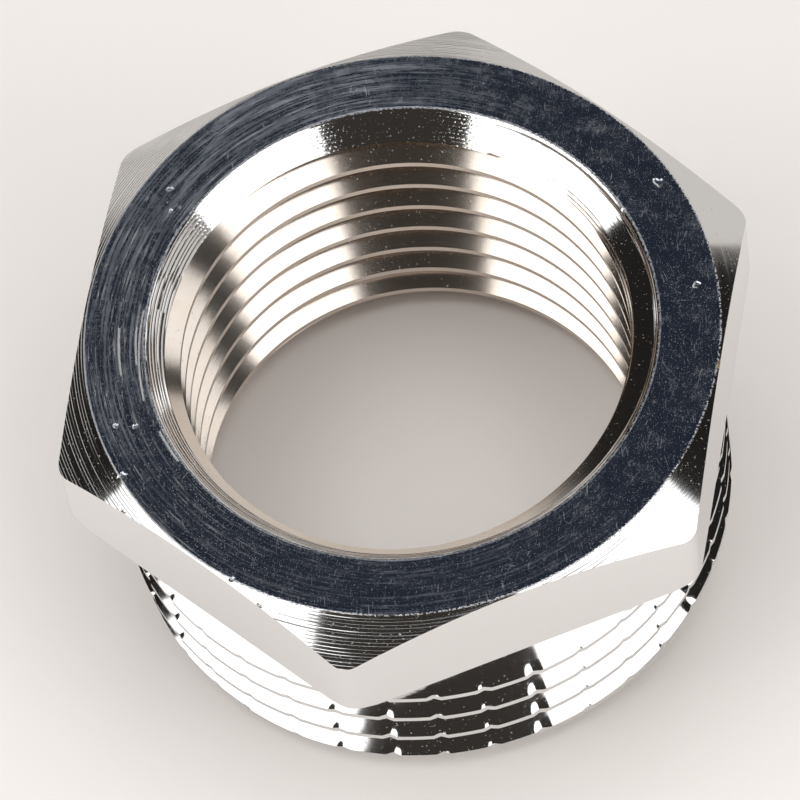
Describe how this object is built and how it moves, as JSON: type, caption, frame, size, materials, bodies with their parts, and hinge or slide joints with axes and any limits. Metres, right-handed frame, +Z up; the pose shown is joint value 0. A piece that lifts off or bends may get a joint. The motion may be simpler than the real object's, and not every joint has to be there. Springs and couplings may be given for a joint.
{
  "type": "hexagon reducing bush",
  "caption": "Hexagon reducing bush of chrome-plated brass: notched male pipe thread on the outside, a smaller female pipe thread through the bore.",
  "frame": {"origin": "centre of the male end's face, where the bush stands", "axes": "+Z up the bore towards the head, +X square to one flat of the hexagon"},
  "size_m": [0.027, 0.0308, 0.015],
  "materials": {
    "plated_brass": "bright chrome plate over turned brass"
  },
  "bodies": {
    "root": {"reducing_bush": "plated_brass"}
  },
  "joints": []
}
